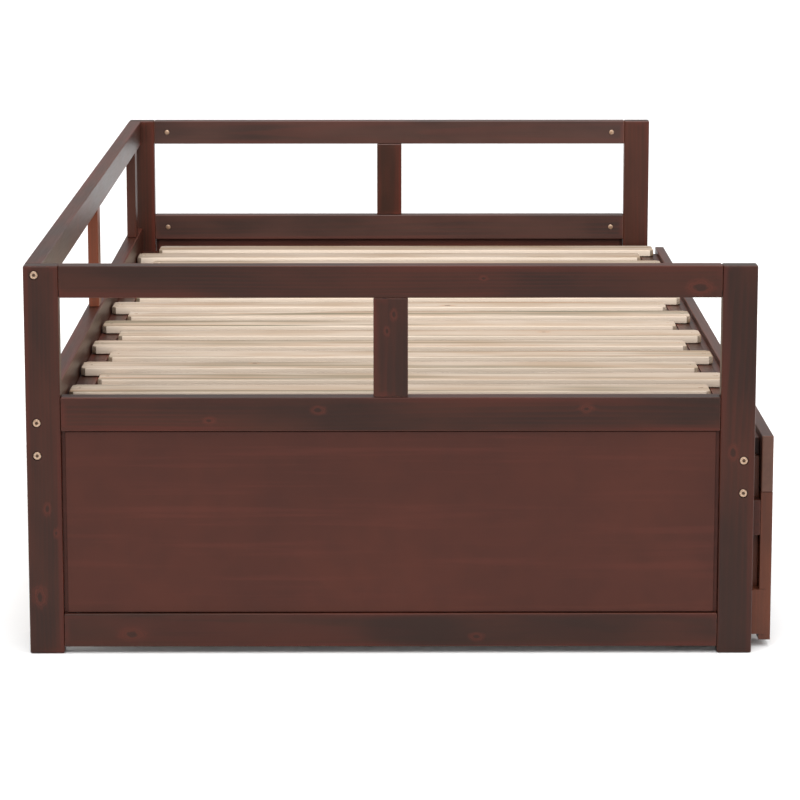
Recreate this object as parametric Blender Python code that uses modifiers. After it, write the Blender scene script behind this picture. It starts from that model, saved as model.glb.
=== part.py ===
"""Extending daybed: two panelled ends, an open back, a slatted frame that slides out, a trundle.

Metres, +Z up.  X runs along the bed, -Y is the side that pulls out, +Y is the back.
The origin is at the bottom centre of the closed bed.
"""
import math

import bmesh
import bpy

# ---------------------------------------------------------------- driving dimensions
BED_LENGTH = 1.975          # outer face to outer face of the end panels
PANEL_WIDTH = 1.006         # rear post to front post, outer faces
PANEL_HEIGHT = 0.546
FIT = 0.0003                # gap between pieces that touch
SLIDE_FIT = 0.0005          # gap under pieces that slide on each other

# end panels
POST_WIDTH = 0.048
POST_DEPTH = 0.026
TOP_RAIL_HEIGHT = 0.0445
MID_RAIL_TOP = 0.363
MID_RAIL_HEIGHT = 0.0475
BOTTOM_RAIL_BOTTOM = 0.0095
BOTTOM_RAIL_HEIGHT = 0.0475
DIVIDER_WIDTH = 0.0475
PANEL_RECESS = 0.004        # outer face of the field behind the posts' outer face
PANEL_FIELD = 0.012
PANEL_TONGUE = 0.004        # thickness of the thin edge around the field
PANEL_GROOVE = 0.0055       # width of that edge beside the posts
PANEL_GROOVE_ENDS = 0.001   # and above and below the field

# counterbores for the bolts and holes for the barrel nuts
BOLT_HOLE_RADIUS = 0.0065
BOLT_HOLE_DEPTH = 0.003
BOLT_EDGE = 0.015           # bolt into a back rail or the beam, from the post's edge
BACK_TOP_BOLT_DROP = 0.013  # bolt of the back's top rail, from the post's top
BOLT_PAIR_SPREAD = 0.023    # from a rail's middle height to each of its two bolts
NUT_HOLE_RADIUS = 0.005
NUT_HOLE_DEPTH = 0.002
NUT_FROM_POST = 0.0245
BACK_NUT_FROM_END = 0.035
HOLE_SEGMENTS = 20

# back
BACK_RAIL_DEPTH = 0.023
BACK_BOTTOM_RAIL_BOTTOM = 0.271
BACK_BOTTOM_RAIL_HEIGHT = 0.066
BACK_DIVIDER_WIDTH = 0.048
BACK_DIVIDER_DEPTH = 0.017
BACK_DIVIDER_SETBACK = 0.004
BACK_END_DIVIDER_INSET = 0.093

# slats
SLAT_COUNT = 19             # every other one slides, starting with the first
SLAT_WIDTH = 0.059
SLAT_THICKNESS = 0.0135
SLAT_TOP = 0.3065
SLAT_END_INSET = 0.028      # first slat to the end panel
SLAT_CORNER = 0.005
FIXED_SLAT_REAR_GAP = 0.003
FIXED_SLAT_OVERLAP = 0.0285     # how far a fixed slat lies on the front ledger
SLIDING_SLAT_REAR_GAP = 0.037
SLIDING_SLAT_FRONT_GAP = 0.009

# bearers of the fixed slats
LEDGER_DEPTH = 0.030
LEDGER_HEIGHT = 0.0245
BEAM_DEPTH = 0.022
BEAM_SETBACK = 0.004        # front face of the beam behind the posts' front faces
BEAM_HEIGHT = 0.072
BEAM_DROP = 0.0065          # top of the beam below the slats
RUNNER_DEPTH = 0.014
RUNNER_HEIGHT = 0.026
RUNNER_REAR_GAP = 0.030

# frame that slides out
BOARD_THICKNESS = 0.0165
BOARD_STANDOFF = 0.0137     # back of the front boards to the posts' front faces
BOARD_INSET = 0.010         # ends of the front rail inside the end panels
FRONT_RAIL_TOP = 0.3015
FRONT_RAIL_HEIGHT = 0.080
LEG_WIDTH = 0.045
LEG_CLEARANCE = 0.0095      # leg to the floor
BACKING_CLEARANCE = 0.002   # pieces behind the front boards to the fixed beam
FRONT_LEDGER_HEIGHT = 0.024
FRONT_LEDGER_INSET = 0.034  # its ends inside the front rail's ends
FRONT_LEDGER_LIP = 0.0045   # thickness of its lip over the fixed beam
LIP_END_GAP = 0.001
ARM_THICKNESS = 0.022
ARM_HEIGHT = 0.050
ARM_INSET = 0.008
ARM_DROP = 0.004            # arm below the fixed beam
CROSSBAR_DEPTH = 0.040
CROSSBAR_HEIGHT = 0.026
CROSSBAR_END_GAP = 0.004
UPRIGHT_DEPTH = 0.030
UPRIGHT_THICKNESS = 0.018
RUNNER_CLEARANCE = 0.003    # upright beside the runner
WHEEL_BLOCK_LENGTH = 0.130
WHEEL_BLOCK_BOTTOM = 0.018
WHEEL_BLOCK_TOP = 0.082
BATTEN_GAP = 0.002          # leg batten beside the arm
BATTEN_OFF_BOARD = 0.001    # leg batten behind the front boards
GLUE_STEP = 0.004           # how far a glued piece stands in from the edge it is glued along
LEG_WHEEL_RADIUS = 0.027
LEG_WHEEL_SETBACK = 0.062   # axle behind the back of the front boards

# trundle
TRUNDLE_SIDE_GAP = 0.005    # trundle to the legs of the sliding frame
TRUNDLE_TOP_GAP = 0.006     # top of its front below the front rail
TRUNDLE_FRONT_BOTTOM = 0.025
TRUNDLE_REAR_GAP = 0.065    # its back to the rear face of the bed
TRUNDLE_BOARD = 0.015
TRUNDLE_SIDE_BOTTOM = 0.014
TRUNDLE_SIDE_TOP = 0.150
TRUNDLE_BACK_BOTTOM = 0.045
DECK_BEARER_HEIGHT = 0.022
DECK_BEARER_DEPTH = 0.030
DECK_BEARER_COUNT = 3
DECK_SLAT_COUNT = 14
DECK_SLAT_WIDTH = 0.060
DECK_SLAT_THICKNESS = 0.012
DECK_LAP = 0.002            # slats let into the bearers
DECK_GAP = 0.001            # deck to the boards around it
DECK_WHEEL_CLEARANCE = 0.006
HAND_NOTCH_LENGTH = 0.130
HAND_NOTCH_DEPTH = 0.024
HAND_NOTCH_SPREAD = 0.450   # from the middle of the front to each notch
TRUNDLE_WHEEL_RADIUS = 0.025
TRUNDLE_WHEEL_FRONT = 0.110     # axle behind the back of the front board
TRUNDLE_WHEEL_REAR = 0.120      # axle in front of the trundle's back

# wheels
WHEEL_WIDTH = 0.018
WHEEL_EDGE = 0.003
HUB_RADIUS = 0.009
HUB_PROUD = 0.001
JOURNAL_RADIUS = 0.005
JOURNAL_CLEARANCE = 0.0005
JOURNAL_LENGTH = 0.011      # part of the journal inside the wood
WHEEL_SIDE_GAP = 0.002
WHEEL_SEGMENTS = 32

POST_EASE = 0.0022
RAIL_EASE = 0.0015
SLAT_EASE = 0.003
PANEL_EASE = 0.0006
GLUED_EASE = 0.0004

# ---------------------------------------------------------------- planes worked out from them
X_END = BED_LENGTH / 2
X_INNER = X_END - POST_DEPTH
BED_DEPTH = PANEL_WIDTH + BOARD_STANDOFF + BOARD_THICKNESS
Y_REAR = BED_DEPTH / 2
Y_POST_FRONT = Y_REAR - PANEL_WIDTH
Y_BOARD_BACK = Y_POST_FRONT - BOARD_STANDOFF
Y_BOARD_FRONT = -Y_REAR

Y_BACK_RAIL = Y_REAR - BACK_RAIL_DEPTH
Y_BEAM_FRONT = Y_POST_FRONT + BEAM_SETBACK
Y_BEAM_BACK = Y_BEAM_FRONT + BEAM_DEPTH
Y_BACKING = Y_BEAM_FRONT - BACKING_CLEARANCE

SLAT_BOTTOM = SLAT_TOP - SLAT_THICKNESS
LEDGER_TOP = SLAT_BOTTOM - SLIDE_FIT
BEAM_TOP = SLAT_BOTTOM - BEAM_DROP
BEAM_BOTTOM = BEAM_TOP - BEAM_HEIGHT
CROSSBAR_TOP = SLAT_BOTTOM - SLIDE_FIT
CROSSBAR_BOTTOM = CROSSBAR_TOP - CROSSBAR_HEIGHT
RUNNER_TOP = CROSSBAR_BOTTOM - SLIDE_FIT
FRONT_RAIL_BOTTOM = FRONT_RAIL_TOP - FRONT_RAIL_HEIGHT
LEG_TOP = FRONT_RAIL_BOTTOM - FIT
ARM_TOP = BEAM_BOTTOM - ARM_DROP
FRONT_LEDGER_TOP = SLAT_BOTTOM - FIT
FRONT_LEDGER_BOTTOM = FRONT_LEDGER_TOP - FRONT_LEDGER_HEIGHT

X_BOARD_END = X_INNER - BOARD_INSET
X_LEG_INNER = X_BOARD_END - LEG_WIDTH
X_ARM_OUTER = X_INNER - ARM_INSET
X_ARM_INNER = X_ARM_OUTER - ARM_THICKNESS
X_RUNNER_INNER = X_INNER - FIT - RUNNER_DEPTH
X_UPRIGHT_OUTER = X_RUNNER_INNER - RUNNER_CLEARANCE
X_TRUNDLE = X_LEG_INNER - TRUNDLE_SIDE_GAP

Y_CROSSBAR_REAR = Y_BACK_RAIL - SLIDING_SLAT_REAR_GAP
Y_CROSSBAR_FRONT = Y_CROSSBAR_REAR - CROSSBAR_DEPTH
Y_UPRIGHT = (Y_CROSSBAR_REAR + Y_CROSSBAR_FRONT) / 2
Y_TRUNDLE_REAR = Y_REAR - TRUNDLE_REAR_GAP
BACK_RAIL_MIDDLE = BACK_BOTTOM_RAIL_BOTTOM + BACK_BOTTOM_RAIL_HEIGHT / 2
BACK_BOLTS = (PANEL_HEIGHT - BACK_TOP_BOLT_DROP, BACK_RAIL_MIDDLE + BOLT_PAIR_SPREAD,
              BACK_RAIL_MIDDLE - BOLT_PAIR_SPREAD)
BEAM_MIDDLE = (BEAM_TOP + BEAM_BOTTOM) / 2
BEAM_BOLTS = (BEAM_MIDDLE + BOLT_PAIR_SPREAD, BEAM_MIDDLE - BOLT_PAIR_SPREAD)
TRUNDLE_FRONT_TOP = FRONT_RAIL_BOTTOM - TRUNDLE_TOP_GAP
DECK_BOTTOM = 2 * TRUNDLE_WHEEL_RADIUS + DECK_WHEEL_CLEARANCE

STAIN_POST = (0.075, 0.033, 0.024)
STAIN_RAIL = (0.083, 0.038, 0.027)
STAIN_PANEL = (0.102, 0.036, 0.026)
STAIN_BOARD = (0.110, 0.045, 0.033)
PINE = (0.730, 0.610, 0.470)
PINE_FRAME = (0.640, 0.500, 0.340)
WHEEL_GREY = (0.055, 0.055, 0.058)


# ---------------------------------------------------------------- small tools
def clear_scene():
    for existing in list(bpy.data.objects):
        bpy.data.objects.remove(existing, do_unlink=True)


def new_collection(name):
    collection = bpy.data.collections.new(name)
    bpy.context.scene.collection.children.link(collection)
    return collection


def material(name, colour, roughness=0.45, metallic=0.0):
    made = bpy.data.materials.new(name)
    made.use_nodes = True
    made.diffuse_color = (*colour, 1.0)
    shader = made.node_tree.nodes["Principled BSDF"]
    shader.inputs["Base Color"].default_value = (*colour, 1.0)
    shader.inputs["Roughness"].default_value = roughness
    shader.inputs["Metallic"].default_value = metallic
    return made


def box_mesh(name, size):
    """A box of the given size, centred on its own origin."""
    mesh = bpy.data.meshes.new(name)
    shape = bmesh.new()
    bmesh.ops.create_cube(shape, size=1.0)
    bmesh.ops.scale(shape, verts=shape.verts, vec=size)
    shape.to_mesh(mesh)
    shape.free()
    return mesh


def place(name, mesh, centre, collection, parent=None):
    """Link a mesh at a world position, under a parent empty where it has one."""
    made = bpy.data.objects.new(name, mesh)
    collection.objects.link(made)
    if parent is not None:
        made.parent = parent
        centre = [c - p for c, p in zip(centre, parent.location)]
    made.location = centre
    return made


def ease_edges(made, width, segments=2):
    bevel = made.modifiers.new("eased_edges", "BEVEL")
    bevel.width = width
    bevel.segments = segments
    bevel.limit_method = "ANGLE"
    bevel.angle_limit = math.radians(40)
    return bevel


def board(name, x, y, z, colour, ease=RAIL_EASE, parent=None, roughness=0.45):
    """A plank between the given pairs of planes, with eased edges."""
    size = [high - low for low, high in (x, y, z)]
    centre = [(high + low) / 2 for low, high in (x, y, z)]
    made = place(name, box_mesh(name, size), centre, parts, parent)
    made.data.materials.append(material(name, colour, roughness))
    ease_edges(made, min(ease, min(size) * 0.3))
    return made


def combine(made, tool, operation, before_easing=True):
    """Join a helper solid to a piece, or cut it out, ahead of the eased edges or after them."""
    boolean = made.modifiers.new(tool.name, "BOOLEAN")
    boolean.object = tool
    boolean.operation = operation
    boolean.solver = "EXACT"
    tool.hide_render = True
    tool.display_type = "WIRE"
    if before_easing:
        made.modifiers.move(len(made.modifiers) - 1, len(made.modifiers) - 2)


def helper_box(name, x, y, z, parent=None):
    size = [high - low for low, high in (x, y, z)]
    centre = [(high + low) / 2 for low, high in (x, y, z)]
    return place(name, box_mesh(name, size), centre, cutters, parent)


def glue(made, x, y, z, parent=None):
    """Glue a second plank to a piece; the two overlap so that they are one solid."""
    count = len(made.modifiers)
    combine(made, helper_box(f"{made.name}_glued_{count}", x, y, z, parent), "UNION")


def drill(made, axis, centre, radius, length, parent=None, segments=HOLE_SEGMENTS):
    """Cut a round hole of the given length, centred on a point, along X or Y."""
    name = f"{made.name}_hole_{len(made.modifiers)}"
    mesh = bpy.data.meshes.new(name)
    shape = bmesh.new()
    bmesh.ops.create_cone(shape, cap_ends=True, segments=segments,
                          radius1=radius, radius2=radius, depth=length)
    shape.to_mesh(mesh)
    shape.free()
    tool = place(name, mesh, centre, cutters, parent)
    tool.rotation_euler = (0, math.pi / 2, 0) if axis == "X" else (math.pi / 2, 0, 0)
    combine(made, tool, "DIFFERENCE", before_easing=False)


def journal_hole(made, x, y, z, parent):
    """The hole along X that a wheel's journal turns in, between the two planes in x."""
    drill(made, "X", ((x[0] + x[1]) / 2, y, z), JOURNAL_RADIUS + JOURNAL_CLEARANCE,
          x[1] - x[0], parent, WHEEL_SEGMENTS)


def slat(name, x_centre, y, parent=None):
    """A pine slat with clipped corners."""
    size = (SLAT_WIDTH, y[1] - y[0], SLAT_THICKNESS)
    mesh = bpy.data.meshes.new(name)
    shape = bmesh.new()
    bmesh.ops.create_cube(shape, size=1.0)
    bmesh.ops.scale(shape, verts=shape.verts, vec=size)
    uprights = [edge for edge in shape.edges
                if abs(edge.verts[0].co.z - edge.verts[1].co.z) > SLAT_THICKNESS / 2]
    bmesh.ops.bevel(shape, geom=uprights, offset=SLAT_CORNER, segments=1, affect="EDGES")
    shape.to_mesh(mesh)
    shape.free()
    centre = (x_centre, (y[0] + y[1]) / 2, (SLAT_TOP + SLAT_BOTTOM) / 2)
    made = place(name, mesh, centre, parts, parent)
    made.data.materials.append(material(name, PINE, 0.6))
    ease_edges(made, SLAT_EASE)
    return made


def wheel(name, x_wood, side, y, radius, parent):
    """A turned wheel with its journal; side is +1 where the wood is on its +X side."""
    half = WHEEL_WIDTH / 2
    hub_end = half + HUB_PROUD
    journal_end = hub_end + WHEEL_SIDE_GAP + JOURNAL_LENGTH
    outline = [(-hub_end, 0), (-hub_end, HUB_RADIUS), (-half, HUB_RADIUS),
               (-half, radius - WHEEL_EDGE), (WHEEL_EDGE - half, radius),
               (half - WHEEL_EDGE, radius), (half, radius - WHEEL_EDGE),
               (half, HUB_RADIUS), (hub_end, HUB_RADIUS), (hub_end, JOURNAL_RADIUS),
               (journal_end, JOURNAL_RADIUS), (journal_end, 0)]
    mesh = bpy.data.meshes.new(name)
    shape = bmesh.new()
    points = [shape.verts.new((side * x, 0, -r)) for x, r in outline]
    for start, end in zip(points, points[1:]):
        shape.edges.new((start, end))
    shape.to_mesh(mesh)
    shape.free()
    centre_x = x_wood - side * (hub_end + WHEEL_SIDE_GAP)
    made = place(name, mesh, (centre_x, y, radius), parts, parent)
    made.data.materials.append(material(name, WHEEL_GREY, 0.5))
    turn = made.modifiers.new("turned", "SCREW")
    turn.axis = "X"
    turn.angle = 2 * math.pi
    turn.steps = WHEEL_SEGMENTS
    turn.render_steps = WHEEL_SEGMENTS
    turn.use_merge_vertices = True
    turn.merge_threshold = 0.0001
    turn.use_normal_calculate = True
    turn.use_smooth_shade = True
    return made


def slide_origin(name):
    """The empty that a sliding body hangs from, at the closed position."""
    empty = bpy.data.objects.new(name, None)
    empty.empty_display_size = 0.1
    empty.location = (0, Y_BOARD_FRONT, 0)
    parts.objects.link(empty)
    return empty


def mirrored(side, near, far):
    """The X planes of a piece on one end of the bed, in rising order."""
    return tuple(sorted((side * near, side * far)))


# ---------------------------------------------------------------- the fixed bed
def end_panel(end, side):
    x = mirrored(side, X_INNER, X_END)
    inner_y = (Y_POST_FRONT + POST_WIDTH + FIT, Y_REAR - POST_WIDTH - FIT)
    mid_rail_bottom = MID_RAIL_TOP - MID_RAIL_HEIGHT
    bottom_rail_top = BOTTOM_RAIL_BOTTOM + BOTTOM_RAIL_HEIGHT
    top_rail_bottom = PANEL_HEIGHT - TOP_RAIL_HEIGHT

    rear_post = board(f"{end}_rear_post", x, (Y_REAR - POST_WIDTH, Y_REAR), (0, PANEL_HEIGHT),
                      STAIN_POST, POST_EASE)
    front_post = board(f"{end}_front_post", x, (Y_POST_FRONT, Y_POST_FRONT + POST_WIDTH),
                       (0, PANEL_HEIGHT), STAIN_POST, POST_EASE)
    for z in BACK_BOLTS:
        drill(rear_post, "X", (side * X_END, Y_REAR - BOLT_EDGE, z), BOLT_HOLE_RADIUS,
              2 * BOLT_HOLE_DEPTH)
    for z in BEAM_BOLTS:
        drill(front_post, "X", (side * X_END, Y_POST_FRONT + BOLT_EDGE, z), BOLT_HOLE_RADIUS,
              2 * BOLT_HOLE_DEPTH)

    top_rail = board(f"{end}_top_rail", x, inner_y, (top_rail_bottom, PANEL_HEIGHT), STAIN_RAIL)
    mid_rail = board(f"{end}_mid_rail", x, inner_y, (mid_rail_bottom, MID_RAIL_TOP), STAIN_RAIL)
    x_middle = side * (X_INNER + X_END) / 2
    for rail, z in ((top_rail, PANEL_HEIGHT - TOP_RAIL_HEIGHT / 2),
                    (mid_rail, MID_RAIL_TOP - MID_RAIL_HEIGHT / 2)):
        for post, y in ((rear_post, Y_REAR), (front_post, Y_POST_FRONT)):
            drill(post, "Y", (x_middle, y, z), BOLT_HOLE_RADIUS, 2 * BOLT_HOLE_DEPTH)
        for y in (inner_y[0] + NUT_FROM_POST, inner_y[1] - NUT_FROM_POST):
            drill(rail, "X", (side * X_INNER, y, z), NUT_HOLE_RADIUS, 2 * NUT_HOLE_DEPTH)
    board(f"{end}_bottom_rail", x, inner_y, (BOTTOM_RAIL_BOTTOM, bottom_rail_top), STAIN_RAIL)

    middle = (Y_REAR + Y_POST_FRONT) / 2
    board(f"{end}_divider", x, (middle - DIVIDER_WIDTH / 2, middle + DIVIDER_WIDTH / 2),
          (MID_RAIL_TOP + FIT, top_rail_bottom - FIT), STAIN_RAIL)

    x_field = X_END - PANEL_RECESS
    field_x = mirrored(side, x_field - PANEL_FIELD, x_field)
    field_y = (inner_y[0] + PANEL_GROOVE, inner_y[1] - PANEL_GROOVE)
    field_z = (bottom_rail_top + FIT + PANEL_GROOVE_ENDS,
               mid_rail_bottom - FIT - PANEL_GROOVE_ENDS)
    panel = board(f"{end}_panel", field_x, field_y, field_z, STAIN_PANEL, PANEL_EASE)
    x_tongue = x_field - (PANEL_FIELD - PANEL_TONGUE) / 2
    glue(panel, mirrored(side, x_tongue - PANEL_TONGUE, x_tongue), inner_y,
         (bottom_rail_top + FIT, mid_rail_bottom - FIT))


def back_frame():
    x = (-X_INNER + FIT, X_INNER - FIT)
    rail_y = (Y_BACK_RAIL, Y_REAR)
    top_rail_bottom = PANEL_HEIGHT - TOP_RAIL_HEIGHT
    bottom_rail_top = BACK_BOTTOM_RAIL_BOTTOM + BACK_BOTTOM_RAIL_HEIGHT
    top_rail = board("back_top_rail", x, rail_y, (top_rail_bottom, PANEL_HEIGHT), STAIN_RAIL)
    bottom_rail = board("back_bottom_rail", x, rail_y, (BACK_BOTTOM_RAIL_BOTTOM, bottom_rail_top),
                        STAIN_RAIL)
    for rail, z in zip((top_rail, bottom_rail, bottom_rail), BACK_BOLTS):
        for side in (-1, 1):
            drill(rail, "Y", (side * (X_INNER - BACK_NUT_FROM_END), Y_REAR, z), NUT_HOLE_RADIUS,
                  2 * NUT_HOLE_DEPTH)

    y = (Y_REAR - BACK_DIVIDER_SETBACK - BACK_DIVIDER_DEPTH, Y_REAR - BACK_DIVIDER_SETBACK)
    z = (bottom_rail_top + FIT, top_rail_bottom - FIT)
    end_x = X_INNER - BACK_END_DIVIDER_INSET - BACK_DIVIDER_WIDTH / 2
    for name, middle in (("left", -end_x), ("centre", 0), ("right", end_x)):
        board(f"back_{name}_divider",
              (middle - BACK_DIVIDER_WIDTH / 2, middle + BACK_DIVIDER_WIDTH / 2), y, z, STAIN_RAIL)


def slat_bearers():
    x = (-X_INNER + FIT, X_INNER - FIT)
    ledger_z = (LEDGER_TOP - LEDGER_HEIGHT, LEDGER_TOP)
    rear_face = Y_BACK_RAIL - FIT
    board("back_ledger", x, (rear_face - LEDGER_DEPTH, rear_face), ledger_z, STAIN_RAIL)

    beam = board("front_beam", x, (Y_BEAM_FRONT, Y_BEAM_BACK), (BEAM_BOTTOM, BEAM_TOP), STAIN_RAIL)
    glue(beam, x, (Y_BEAM_BACK - BEAM_DEPTH / 4, Y_BEAM_BACK + LEDGER_DEPTH), ledger_z)
    for z in BEAM_BOLTS:
        for side in (-1, 1):
            drill(beam, "Y", (side * (X_INNER - BACK_NUT_FROM_END), Y_BEAM_FRONT, z),
                  NUT_HOLE_RADIUS, 2 * NUT_HOLE_DEPTH)

    for end, side in ENDS:
        board(f"{end}_runner", mirrored(side, X_RUNNER_INNER, X_INNER - FIT),
              (Y_BEAM_BACK + FIT, Y_REAR - RUNNER_REAR_GAP),
              (RUNNER_TOP - RUNNER_HEIGHT, RUNNER_TOP), PINE_FRAME)


def slat_positions(start):
    """X of every other slat of the evenly spaced row, from the given one."""
    first = -X_INNER + SLAT_END_INSET + SLAT_WIDTH / 2
    pitch = -2 * first / (SLAT_COUNT - 1)
    return [first + pitch * index for index in range(start, SLAT_COUNT, 2)]


def fixed_slats():
    y = (Y_BEAM_BACK + LEDGER_DEPTH - FIXED_SLAT_OVERLAP, Y_BACK_RAIL - FIXED_SLAT_REAR_GAP)
    for number, x in enumerate(slat_positions(1), 1):
        slat(f"fixed_slat_{number:02d}", x, y)


# ---------------------------------------------------------------- the frame that slides out
def extension(slide):
    board_y = (Y_BOARD_FRONT, Y_BOARD_BACK)
    rail_x = (-X_BOARD_END, X_BOARD_END)
    board("extension_front_rail", rail_x, board_y, (FRONT_RAIL_BOTTOM, FRONT_RAIL_TOP),
          STAIN_BOARD, parent=slide)
    ledger_end = X_BOARD_END - FRONT_LEDGER_INSET
    ledger = board("extension_front_ledger", (-ledger_end, ledger_end),
                   (Y_BOARD_BACK + FIT, Y_BACKING), (FRONT_LEDGER_BOTTOM, FRONT_LEDGER_TOP),
                   STAIN_RAIL, GLUED_EASE, slide)
    lip_end = Y_BEAM_BACK - BEAM_DEPTH / 4 - LIP_END_GAP
    glue(ledger, (-ledger_end, ledger_end), (Y_BACKING - GLUE_STEP, lip_end),
         (FRONT_LEDGER_TOP - FRONT_LEDGER_LIP, FRONT_LEDGER_TOP), slide)
    crossbar_x = X_INNER - CROSSBAR_END_GAP
    board("extension_crossbar", (-crossbar_x, crossbar_x), (Y_CROSSBAR_FRONT, Y_CROSSBAR_REAR),
          (CROSSBAR_BOTTOM, CROSSBAR_TOP), PINE_FRAME, parent=slide)
    for end, side in ENDS:
        extension_leg(end, side, slide)
        extension_arm(end, side, slide)
    for number, x in enumerate(slat_positions(0), 1):
        slat(f"sliding_slat_{number:02d}", x,
             (Y_BOARD_BACK + SLIDING_SLAT_FRONT_GAP, Y_CROSSBAR_REAR), slide)


def extension_leg(end, side, slide):
    """The leg's front board, with the batten and the wheel block glued behind it."""
    leg_x = mirrored(side, X_LEG_INNER, X_BOARD_END)
    leg = board(f"extension_{end}_leg", leg_x, (Y_BOARD_FRONT, Y_BOARD_BACK),
                (LEG_CLEARANCE, LEG_TOP), STAIN_BOARD, GLUED_EASE, slide)
    batten_x = mirrored(side, X_LEG_INNER + GLUE_STEP, X_ARM_INNER - BATTEN_GAP)
    batten_z = (WHEEL_BLOCK_BOTTOM, FRONT_LEDGER_BOTTOM - FIT)
    glue(leg, batten_x, (Y_BOARD_BACK + BATTEN_OFF_BOARD, Y_BACKING), batten_z, slide)
    glue_line = Y_BOARD_BACK - BOARD_THICKNESS / 2
    spacer_x = mirrored(side, X_LEG_INNER + 2 * GLUE_STEP, X_ARM_INNER - BATTEN_GAP - GLUE_STEP)
    spacer_y = (glue_line, (Y_BOARD_BACK + Y_BACKING) / 2)
    glue(leg, spacer_x, spacer_y, (batten_z[0] + GLUE_STEP, LEG_TOP - GLUE_STEP), slide)
    block_x = mirrored(side, X_ARM_INNER, X_ARM_OUTER)
    glue(leg, block_x, (glue_line, Y_BOARD_BACK + WHEEL_BLOCK_LENGTH),
         (WHEEL_BLOCK_BOTTOM, WHEEL_BLOCK_TOP), slide)
    axle_y = Y_BOARD_BACK + LEG_WHEEL_SETBACK
    hole_end = X_ARM_INNER + JOURNAL_LENGTH + JOURNAL_CLEARANCE
    journal_hole(leg, mirrored(side, X_ARM_INNER - WHEEL_SIDE_GAP, hole_end), axle_y,
                 LEG_WHEEL_RADIUS, slide)
    wheel(f"extension_{end}_wheel", side * X_ARM_INNER, side, axle_y, LEG_WHEEL_RADIUS, slide)


def extension_arm(end, side, slide):
    """The arm from the leg to the back, with the upright that carries the crossbar."""
    upright_y = (Y_UPRIGHT - UPRIGHT_DEPTH / 2, Y_UPRIGHT + UPRIGHT_DEPTH / 2)
    arm = board(f"extension_{end}_arm", mirrored(side, X_ARM_INNER, X_ARM_OUTER),
                (Y_BOARD_BACK + FIT, Y_CROSSBAR_REAR), (ARM_TOP - ARM_HEIGHT, ARM_TOP),
                STAIN_RAIL, parent=slide)
    glue(arm, mirrored(side, X_UPRIGHT_OUTER - UPRIGHT_THICKNESS, X_UPRIGHT_OUTER), upright_y,
         (ARM_TOP - ARM_HEIGHT + GLUE_STEP, CROSSBAR_BOTTOM - FIT), slide)


# ---------------------------------------------------------------- the trundle
def trundle(slide):
    front = board("trundle_front", (-X_TRUNDLE, X_TRUNDLE), (Y_BOARD_FRONT, Y_BOARD_BACK),
                  (TRUNDLE_FRONT_BOTTOM, TRUNDLE_FRONT_TOP), STAIN_BOARD, parent=slide)
    for index, side in enumerate((-1, 1)):
        hand_notch(front, f"hand_notch_{index + 1}", side * HAND_NOTCH_SPREAD, slide)

    inner_x = X_TRUNDLE - TRUNDLE_BOARD
    board("trundle_back", (-inner_x + FIT, inner_x - FIT),
          (Y_TRUNDLE_REAR - TRUNDLE_BOARD, Y_TRUNDLE_REAR),
          (TRUNDLE_BACK_BOTTOM, TRUNDLE_SIDE_TOP), PINE_FRAME, parent=slide)
    axles = {"front": Y_BOARD_BACK + TRUNDLE_WHEEL_FRONT, "rear": Y_TRUNDLE_REAR - TRUNDLE_WHEEL_REAR}
    for end, side in ENDS:
        board_side = board(f"trundle_{end}_side", mirrored(side, inner_x, X_TRUNDLE),
                           (Y_BOARD_BACK + FIT, Y_TRUNDLE_REAR),
                           (TRUNDLE_SIDE_BOTTOM, TRUNDLE_SIDE_TOP), PINE_FRAME, parent=slide)
        for place_name, axle_y in axles.items():
            hole_end = inner_x + JOURNAL_LENGTH + JOURNAL_CLEARANCE
            journal_hole(board_side, mirrored(side, inner_x - WHEEL_SIDE_GAP, hole_end), axle_y,
                         TRUNDLE_WHEEL_RADIUS, slide)
            wheel(f"trundle_{place_name}_{end}_wheel", side * inner_x, side, axle_y,
                  TRUNDLE_WHEEL_RADIUS, slide)
    trundle_deck(inner_x, slide)


def hand_notch(front, name, x, slide):
    """A rounded notch in the top edge of the trundle's front, to pull it by."""
    size = (HAND_NOTCH_LENGTH, 3 * BOARD_THICKNESS, 2 * HAND_NOTCH_DEPTH)
    mesh = bpy.data.meshes.new(name)
    shape = bmesh.new()
    bmesh.ops.create_cube(shape, size=1.0)
    bmesh.ops.scale(shape, verts=shape.verts, vec=size)
    across = [edge for edge in shape.edges
              if abs(edge.verts[0].co.y - edge.verts[1].co.y) > BOARD_THICKNESS]
    bmesh.ops.bevel(shape, geom=across, offset=HAND_NOTCH_DEPTH * 0.9, segments=6, affect="EDGES",
                    profile=0.5)
    shape.to_mesh(mesh)
    shape.free()
    middle = (Y_BOARD_FRONT + Y_BOARD_BACK) / 2
    combine(front, place(name, mesh, (x, middle, TRUNDLE_FRONT_TOP), cutters, slide), "DIFFERENCE")


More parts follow.
